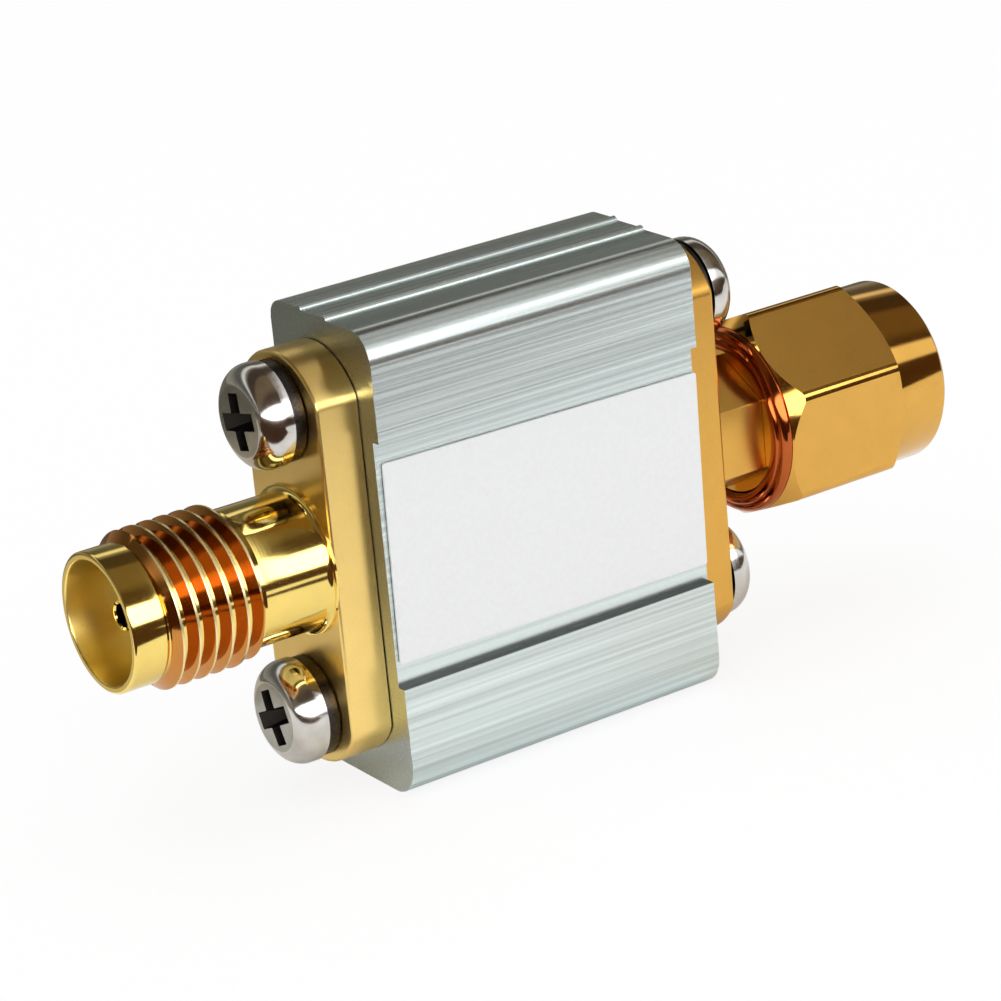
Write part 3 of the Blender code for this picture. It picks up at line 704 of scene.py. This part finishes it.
piece("jack_bead", bead(5.6), outward(-1), "filter", (ptfe,), "jack_insulator")
socket = mm(*TAIL, (7.74, 0.635), (7.8, 0.58), (7.8, 0.53), (7.74, 0.47), (5.4, 0.47), (5.3, 0.0))
bm = turned(socket, 0.0)
normals = [Matrix.Rotation(math.radians(angle), 3, "Z") @ Vector((0, 1, 0)) for angle in SLIT_ANGLES]
for normal in normals:
    for side in (-1, 1):
        bmesh.ops.bisect_plane(bm, geom=bm.verts[:] + bm.edges[:] + bm.faces[:], dist=MERGE / 10,
                               plane_co=normal * side * SLIT, plane_no=normal)
slit = []
for face in bm.faces:
    center = face.calc_center_median()
    between = any(abs(center @ normal) < IN_SLIT for normal in normals)
    if between and center.z > SLIT_BOTTOM and center.xy.length > SLIT_INNER:
        slit.append(face)
bmesh.ops.delete(bm, geom=slit, context="FACES")
piece("jack_socket", bm, outward(-1), "filter", (jack_bright,), "jack_contact")

# %% [markdown]
# ## Plug body
# Behind the nut the plug has a hexagonal neck, then the shaft with a groove for the snap ring, and the
# outer contact that meets the jack. The neck is a plate and the rest is turned, as on the real piece,
# and they overlap a little where they meet, so no Boolean is needed.

# %% Plug body and what fills it
NECK_ACROSS = 5.05 * MM
NECK_EDGE = 0.08 * MM
neck = plate([hexagon(NECK_ACROSS), circle(BORE)], -0.1 * MM, 2.3 * MM)
bevel(neck, sharp_edges(neck, 40.0), NECK_EDGE)
for face in neck.faces:
    face.material_index = MILLED
shaft = mm((2.25, 2.055), (2.25, 3.08), (3.65, 3.08), (3.65, 2.6), (4.15, 2.6), (4.15, 3.08), (4.7, 3.08),
           (4.7, 2.295), (8.2, 2.295), (8.2, 2.055))
piece("plug_shell", gather(flange(), neck, turned(shaft)), outward(1), "filter",
      (plug_bright, plug_satin), "plug_body")
piece("plug_bead", bead(8.2), outward(1), "filter", (ptfe,), "plug_insulator")
pin = mm(*TAIL, (8.2, 0.635), (8.2, 0.46), (9.7, 0.46), (9.95, 0.38), (10.12, 0.27), (10.2, 0.14),
         (10.2, 0.0))
piece("plug_centre_pin", turned(pin, 0.01 * MM), outward(1), "filter", (plug_bright,),
      "plug_pin")
ring = mm((4.74, 2.34), (4.74, 2.9), (5.5, 2.9), (5.5, 2.34))
piece("plug_gasket", turned(ring, 0.1 * MM), outward(1), "filter", (red_silicone,),
      "nut_gasket")

# %% [markdown]
# ## Coupling nut
# The hexagon's corners are turned down at both ends, which leaves curved scallops on the flats. A
# Boolean with a double cone gives exactly those curves, which no bevel would. The back ring with its
# two rolled lobes, the front collar and the bore are one turned section, and the inner thread is a
# ridge that points inwards. The flats are satin, and what was turned is bright.

# %% A Boolean that leaves a mesh


def combined(body_bm, tool_bm, operation, self_crossing=False):
    """The exact Boolean of two bmeshes. A tool made of crossing solids is self_crossing."""
    made = []
    for word, source in (("body", body_bm), ("tool", tool_bm)):
        mesh = bpy.data.meshes.new(word)
        source.to_mesh(mesh)
        source.free()
        made.append(bpy.data.objects.new(word, mesh))
        scene.collection.objects.link(made[-1])
    step = made[0].modifiers.new("combine", "BOOLEAN")
    step.operation = operation
    step.solver = "EXACT"
    step.use_self = self_crossing
    step.object = made[1]
    depsgraph = bpy.context.evaluated_depsgraph_get()
    result = bpy.data.meshes.new_from_object(made[0].evaluated_get(depsgraph))
    for old in made:
        bpy.data.objects.remove(old)
    return result


print("Booleans use the exact solver")

# %% Nut hexagon
NUT_ACROSS = 8.0 * MM
NUT_BORE = 3.5 * MM
LONG_EDGE = 0.3 * MM
FLAT_SPREAD = 1.0  # degrees that a flat's normal may be off
UPRIGHT = 0.05
NUT_PLACE = outward(1) @ Matrix.Rotation(math.radians(8.2), 4, "Z")
block = plate([hexagon(NUT_ACROSS), circle(NUT_BORE)], 2.6 * MM, 8.5 * MM)
long_edges = []
for edge in block.edges:
    first, last = (vert.co for vert in edge.verts)
    if abs((first - last).z) > 5.0 * MM and first.xy.length > NUT_ACROSS / 2:
        long_edges.append(edge)
bevel(block, long_edges, LONG_EDGE, 8)
cone = mm((2.56, 0.0), (2.56, 3.95), (3.3, 4.62), (8.1, 4.62), (8.38, 4.17), (8.44, 4.06), (8.48, 3.98),
          (8.5, 3.9), (8.6, 3.8), (8.6, 0.0))
outer = bmesh.new()
outer.from_mesh(combined(block, turned(cone, 0.0, 2 * STEPS), "INTERSECT"))
bmesh.ops.remove_doubles(outer, verts=outer.verts[:], dist=MERGE)
for face in outer.faces:
    off_flat = math.degrees(math.atan2(face.normal.y, face.normal.x)) % 60.0 - 30.0
    if abs(off_flat) < FLAT_SPREAD and abs(face.normal.z) < UPRIGHT:
        face.material_index = MILLED
print("hexagon", len(outer.faces), "faces")

# %% Nut piece
LIPS_END = 2.62 * MM
LOBE_DEPTH = 0.16
LIP = 2  # its place in the nut's row of finishes


def lobe(start, end, steps=10):
    """A rolled lobe between two points of height and radius, standing out to the left of the way."""
    length = math.dist(start, end)
    ahead = [(b - a) / length for a, b in zip(start, end)]
    points = []
    for a in (math.pi * i / steps for i in range(1, steps + 1)):
        gone, out = length * (1.0 - math.cos(a)) / 2, LOBE_DEPTH * math.sin(a)
        height = start[0] + ahead[0] * gone - ahead[1] * out
        radius = start[1] + ahead[1] * gone + ahead[0] * out
        points.append((height, radius))
    return points


lobes = lobe((2.21, 3.12), (2.21, 3.61)) + lobe((2.21, 3.61), (2.6, 3.95))
nut_section = mm((2.21, 3.12), *lobes, (2.72, 3.93), (8.3, 3.88), (10.83, 3.88), (11.05, 3.66),
                 (11.05, 3.3), (10.62, 3.2), (6.9, 3.2), (6.9, 3.25), (4.7, 3.25), (4.7, 3.15),
                 (4.15, 3.15), (4.15, 3.62), (3.65, 3.62), (3.65, 3.12))
inner_thread = thread(start=7.3 * MM, turns=4.2, root=3.2 * MM, crest=2.78 * MM, foot=0.56 * MM,
                      top=0.12 * MM, low=7.0 * MM, high=10.6 * MM)
rings = turned(nut_section, 0.02 * MM)
# The lips take the dark copper red, which is painted shade.
for face in rings.faces:
    if face.calc_center_median().z < LIPS_END:
        face.material_index = LIP
piece("nut_shell", gather(outer, rings, inner_thread), NUT_PLACE, "coupling",
      (plug_bright, plug_satin, lip_painted_shade), "coupling_nut")

# %% [markdown]
# ## Open rings
# The snap ring and the split washers are lengths of flat wire, bent round and left open. Their section
# is spun through less than a full turn, so both ends are closed faces and nothing has to be cut away.

# %% Snap ring and washers
WIRE_EDGE = 0.04 * MM


def open_ring(inner, outer, low, high, opening):
    """Flat wire bent round Z, with an opening of so many degrees about X."""
    bm = bmesh.new()
    corners = ((inner, low), (outer, low), (outer, high), (inner, high))
    start = bm.faces.new([bm.verts.new((radius, 0.0, up)) for radius, up in corners])
    bmesh.ops.spin(bm, geom=[start], cent=(0, 0, 0), axis=(0, 0, 1), dvec=(0, 0, 0),
                   angle=math.radians(360.0 - opening), steps=STEPS, use_merge=False, use_duplicate=False)
    half_turn = Matrix.Rotation(math.radians(opening / 2), 3, "Z")
    bmesh.ops.rotate(bm, verts=bm.verts[:], cent=(0, 0, 0), matrix=half_turn)
    bmesh.ops.recalc_face_normals(bm, faces=bm.faces[:])
    bevel(bm, sharp_edges(bm), WIRE_EDGE)
    return bm


piece("nut_snap_ring", open_ring(2.72 * MM, 3.5 * MM, 3.72 * MM, 4.08 * MM, 24.0), NUT_PLACE,
      "coupling", (spring_bronze,), "snap_ring")

# %% [markdown]
# ## Screws
# Pan heads with a cross recess. The head's section is spun, and the recess is a cross with sloping
# sides that is cut out by a Boolean, because its walls meet the dome in curves. One screw is made and
# used four times. Each was tightened by hand, so each cross stands at its own angle.

# %% Screw blank
HEAD_BASE = 0.58  # this and the next six are in millimetres, as the section's points are
HEAD_WALL = 0.35
DOME_RISE = 0.89
DOME_REACH = 0.71
DISC = 1.4
DISC_RISE = 1.28
SHANK = 0.95
DOME_SPAN = math.radians(72.0)
DOME_STEPS = 12
dome = []
for a in (DOME_SPAN * i / DOME_STEPS for i in range(DOME_STEPS + 1)):
    rise = DOME_RISE * math.sin(a) / math.sin(DOME_SPAN)
    reach = DOME_REACH * (math.cos(a) - math.cos(DOME_SPAN)) / (1.0 - math.cos(DOME_SPAN))
    dome.append((HEAD_BASE + HEAD_WALL + rise, DISC + reach))
blank = mm((-5.77, 0.0), (-5.77, 0.75), (-5.57, SHANK), (HEAD_BASE, SHANK), (HEAD_BASE, 2.11), *dome,
           (HEAD_BASE + DISC_RISE, DISC / 2), (HEAD_BASE + 1.3, 0.0))
print(len(blank), "points in the screw's section")

# %% Screw with its recess
CROSS = (2.4 * MM, 0.74 * MM)
CROSS_DEPTH = 0.95 * MM
CROSS_TAPER = 0.5
ABOVE = 0.1 * MM
POCKET = (1.1 * MM, 1.1 * MM)
DISC_LEVEL = (HEAD_BASE + 1.2) * MM
FACE, RECESS = 1, 2  # places in the screw's row of finishes


def cross_cutter():
    """Two crossed bars and a square pocket where they meet, which all narrow downwards."""
    bm = bmesh.new()
    for turn, size in ((0.0, CROSS), (math.pi / 2, CROSS), (math.pi / 4, POCKET)):
        made = bmesh.ops.create_cube(bm, size=1.0, matrix=Matrix.Rotation(turn, 4, "Z"))
        bmesh.ops.scale(bm, verts=made["verts"], vec=(*size, 2.0 * CROSS_DEPTH),
                        space=Matrix.Rotation(-turn, 4, "Z"))
    for vert in bm.verts:
        if vert.co.z < 0.0:
            vert.co.x *= CROSS_TAPER
            vert.co.y *= CROSS_TAPER
        else:
            vert.co.z = ABOVE
    bmesh.ops.translate(bm, verts=bm.verts[:], vec=(0, 0, (HEAD_BASE + DISC_RISE) * MM))
    return bm


screw_mesh = combined(turned(blank, 0.0, 64), cross_cutter(), "DIFFERENCE", True)
# Faces inside the recess take the near-black finish, which is painted shade.
for face in screw_mesh.polygons:
    if face.center.z > HEAD_BASE * MM and face.center.xy.length < DISC * MM:
        on_top = face.center.z > DISC_LEVEL and face.normal.z > 0.9
        face.material_index = FACE if on_top else RECESS
print("screw", len(screw_mesh.polygons), "faces")

# %% Four screws and four washers
CROSS_TURNS = {"jack_top": 12.0, "jack_bottom": 24.0, "plug_top": 40.0, "plug_bottom": 71.0}
for end, side in (("jack", -1), ("plug", 1)):
    for word, up in (("top", 1), ("bottom", -1)):
        key = f"{end}_{word}"
        place = screw_place(side, up) @ Matrix.Rotation(math.radians(CROSS_TURNS[key]), 4, "Z")
        bm = bmesh.new()
        bm.from_mesh(screw_mesh)
        piece(f"pan_screw_{key}", bm, place, "filter", (screw_steel, screw_face, screw_recess_painted_shade),
              f"screw_{key}")
        ring = open_ring(1.18 * MM, 2.03 * MM, GAP, 0.54 * MM, 7.0)
        piece(f"split_washer_{key}", ring, place, "filter", (washer_steel,), f"washer_{key}")

# %% [markdown]
# ## Pieces that keep their shape
# The label, the board and its chips are plain solids whose shape is right already. They stay as they
# are and take the finishes from above.

# %% Finishes on the other nodes
KEPT = {"label": label_white, "circuit_board": board, "filter_chip": chip_ceramic,
        "chip_inductor_1": inductor_ceramic, "chip_inductor_2": inductor_ceramic,
        "chip_capacitor_1": capacitor_ceramic, "chip_capacitor_2": capacitor_ceramic}
for name, look in KEPT.items():
    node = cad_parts[name]
    node.data.materials.clear()
    node.data.materials.append(look)
print(len(KEPT), "nodes keep their shape")

# %% [markdown]
# ## Camera
# A long lens from the front left and a little above. The picture is tilted by a few degrees, as the
# photograph is, so the camera's three axes are worked out from its angles and its roll.

# %% Camera
AZIMUTH, ELEVATION, ROLL = math.radians(-32.998), math.radians(20.15), math.radians(-5.3933)
CAMERA_PLACE = (-0.075537, -0.11622, 0.060322)
LENS = 133.452
level = math.cos(ELEVATION)
ahead = Vector((-math.sin(AZIMUTH) * level, math.cos(AZIMUTH) * level, -math.sin(ELEVATION)))
right = Vector((math.cos(AZIMUTH), math.sin(AZIMUTH), 0.0))
above = right.cross(ahead)
side_row = math.cos(ROLL) * right + math.sin(ROLL) * above
up_row = -math.sin(ROLL) * right + math.cos(ROLL) * above
camera = bpy.data.objects.new("camera", bpy.data.cameras.new("camera"))
scene.collection.objects.link(camera)
pose = Matrix((side_row, up_row, -ahead)).transposed().to_4x4()
camera.matrix_world = Matrix.Translation(CAMERA_PLACE) @ pose
camera.data.sensor_width = 36.0
camera.data.lens = LENS
camera.data.clip_start = 0.01
camera.data.clip_end = 10.0
scene.camera = camera
print("lens", camera.data.lens, "mm")

# %% [markdown]
# ## Studio
# Bright turned metal shows what stands round it: a white sheet under it, a long white softbox in front
# above the table's edge, a dark room over it, and a narrow light behind. Real objects would do, but
# bands round the X axis in the world are simpler and give no noise. Only reflections see them. The
# camera sees plain white, and all other light from the world is even.

# %% Bands round the X axis
WHITE = (1.0, 1.0, 1.0, 1.0)
# Each band: degrees about X from the front, positive above the horizon, and the light there.
BANDS = (
    (-180, (0.40, 0.38, 0.33)), (-150, (0.75, 0.73, 0.85)), (-112, (0.75, 0.73, 0.85)),
    (-108, (1.0, 1.0, 1.0)), (-26, (1.1, 1.1, 1.1)), (-21, (0.07, 0.035, 0.02)),
    (18, (0.08, 0.045, 0.025)), (52, (0.08, 0.05, 0.03)), (60, (0.14, 0.10, 0.06)),
    (66, (0.17, 0.125, 0.075)), (98, (0.17, 0.125, 0.075)), (104, (0.07, 0.05, 0.035)),
    (126, (0.06, 0.045, 0.035)), (134, (0.3, 0.28, 0.25)), (137, (0.9, 0.88, 0.85)),
    (142, (0.9, 0.88, 0.85)), (147, (0.10, 0.10, 0.09)), (160, (0.12, 0.12, 0.105)),
    (180, (0.36, 0.34, 0.30)))
world = bpy.data.worlds.new("studio")
scene.world = world
world.use_nodes = True
tree = world.node_tree
tree.nodes.clear()
direction = Wire(tree, tree.nodes.new("ShaderNodeTexCoord").outputs["Generated"])
split = tree.nodes.new("ShaderNodeSeparateXYZ")
tree.links.new(direction.socket, split.inputs[0])
along, across, height = (Wire(tree, split.outputs[axis]) for axis in "XYZ")
angle = direction.sum("ARCTAN2", height, across * -1.0) * math.degrees(1.0)
stops = [((degrees + 180.0) / 360.0, tone) for degrees, tone in BANDS]
bands = direction.node("ShaderNodeValToRGB", {"stops": stops}, {"Fac": angle * (1.0 / 360.0) + 0.5})
print(len(BANDS), "bands of light")

# %% [markdown]
# ## Softbox
# The box in front is one more patch of light over the bands. In the camera's view a flat face along X
# reflects a direction whose X part depends on where it is: about 0.42 at the jack's mouth, 0.52 at the
# middle of the housing and 0.6 at the nut's collar. So the box can be tall and dim beside the housing,
# bright beside the gold, and dim again from the collar on, as if cloth hung before parts of it.

# %% Softbox and world output
EVEN_LIGHT = 0.78
BOX_LIGHT = 4.0
BOX_LOW, BOX_HIGH = 2.0, 33.0  # degrees about X, of the box beside the jack
beside_housing = along.between(0.445, 0.465) - along.between(0.55, 0.562)
low_edge = BOX_LOW + 22.0 * along.between(0.41, 0.60) - 22.0 * beside_housing
high_edge = BOX_HIGH + 14.0 * along.between(0.41, 0.46) + 62.0 * beside_housing
inside = (angle - low_edge).between(-1.0, 2.0) * (high_edge - angle).between(-1.0, 3.0)
glow = BOX_LIGHT - 3.2 * beside_housing - 2.9 * along.between(0.588, 0.596)
box_color = direction.node("ShaderNodeCombineColor", {}, {0: glow, 1: glow, 2: glow})
path = tree.nodes.new("ShaderNodeLightPath")
glossy, seen = Wire(tree, path.outputs["Is Glossy Ray"]), Wire(tree, path.outputs["Is Camera Ray"])
studio = direction.node("ShaderNodeBackground", {}, {"Color": inside.mix(bands, box_color), "Strength": 1.0})
even = direction.node("ShaderNodeBackground", {}, {"Color": WHITE, "Strength": EVEN_LIGHT})
white = direction.node("ShaderNodeBackground", {}, {"Color": WHITE, "Strength": 1.0})
lit = direction.node("ShaderNodeMixShader", {}, {0: glossy, 1: even, 2: studio})
both = direction.node("ShaderNodeMixShader", {}, {0: seen, 1: lit, 2: white})
out = tree.nodes.new("ShaderNodeOutputWorld")
tree.links.new(both.socket, out.inputs["Surface"])
world.cycles.sampling_method = "NONE"
print("softbox light", BOX_LIGHT)

# %% [markdown]
# ## Floor
# The floor is a sheet of white paper. To the camera most of its colour is plain white, and the rest is
# the lit paper, so it stays clean and keeps a faint shadow.

# %% Floor
REACH = 3.0
LIFT = 0.85
bm = bmesh.new()
bmesh.ops.create_grid(bm, x_segments=1, y_segments=1, size=REACH)
mesh = bpy.data.meshes.new("paper")
bm.to_mesh(mesh)
bm.free()
paper, shader, coords = finish("paper", (0.93, 0.93, 0.93), 0.0, 0.9)
shader.inputs["Specular IOR Level"].default_value = 0.1
tree = paper.node_tree
bright = coords.node("ShaderNodeEmission", {}, {"Color": WHITE, "Strength": 1.0})
seen = Wire(tree, tree.nodes.new("ShaderNodeLightPath").outputs["Is Camera Ray"])
lifted = seen.node("ShaderNodeMixShader", {}, {0: seen * LIFT, 1: Wire(tree, shader.outputs[0]), 2: bright})
tree.links.new(lifted.socket, tree.nodes["Material Output"].inputs["Surface"])
mesh.materials.append(paper)
floor = bpy.data.objects.new("paper", mesh)
scene.collection.objects.link(floor)
print("paper", 2 * REACH, "m wide")

# %% [markdown]
# ## Cards and lamps
# What the metal mirrors in the floor is laid on it as flat cards that only reflections show: the dark
# desk in front of the sheet, a piece of white beside the plug, and greyer stretches behind. Two large
# soft lamps from above and in front light the paper and the label and leave a soft shadow. They are
# hidden from reflections, which the bands already give.

# %% Cards and lamps
SHEET_EDGE = 0.022
CARD_LEVEL = 0.0002
TOWARD_CAMERA = Vector((-0.545, -0.839))
DESK = (0.07, 0.035, 0.02)
BACK_PAPER = (0.55, 0.50, 0.42)
BACK_DARK = (0.16, 0.15, 0.12)


def lamp(name, place, target, size, power):
    data = bpy.data.lights.new(name, "AREA")
    data.shape = "RECTANGLE"
    data.size, data.size_y = size
    data.energy = power
    made = bpy.data.objects.new(name, data)
    scene.collection.objects.link(made)
    made.location = place
    made.rotation_euler = (Vector(target) - Vector(place)).to_track_quat("-Z", "Y").to_euler()
    made.visible_glossy = False


def card(name, corners, color, level=CARD_LEVEL):
    """A flat card just over the floor that only reflections show."""
    bm = bmesh.new()
    bm.faces.new([bm.verts.new((x, y, level)) for x, y in corners])
    mesh = bpy.data.meshes.new(name)
    bm.to_mesh(mesh)
    bm.free()
    look, shader, _ = finish(name, (0.0, 0.0, 0.0), 0.0, 1.0)
    shader.inputs["Specular IOR Level"].default_value = 0.0
    shader.inputs["Emission Color"].default_value = (*color, 1.0)
    shader.inputs["Emission Strength"].default_value = 1.0
    mesh.materials.append(look)
    made = bpy.data.objects.new(name, mesh)
    scene.collection.objects.link(made)
    made.visible_camera = False
    made.visible_diffuse = False
    made.visible_shadow = False
    made.visible_transmission = False


def strip(left, right, front, back):
    """The corners of a card whose sides run along X and Y."""
    return [(left, front), (right, front), (right, back), (left, back)]


sideways = Vector((TOWARD_CAMERA.y, -TOWARD_CAMERA.x)) * REACH
near, far = TOWARD_CAMERA * SHEET_EDGE, TOWARD_CAMERA * REACH
card("desk", [near - sideways, near + sideways, far + sideways, far - sideways], DESK)
card("front_sheet", strip(0.004, 0.05, -0.052, -0.018), WHITE[:3], 2 * CARD_LEVEL)
card("back_sheet", strip(-REACH, REACH, 0.010, 0.034), BACK_PAPER)
card("dark_sheet", strip(-REACH, REACH, 0.034, REACH), BACK_DARK)
lamp("top_lamp", (-0.1, -0.05, 0.6), (0.0, 0.0, 0.0), (0.6, 0.6), 1.25)
lamp("front_lamp", (-0.25, -0.5, 0.25), (0.0, 0.0, 0.01), (0.5, 0.4), 0.38)
print("four cards and two lamps")

# %% [markdown]
# ## The end
# The view transform is Standard, so a colour comes out as it is written.

# %% View transform
scene.view_settings.view_transform = "Standard"
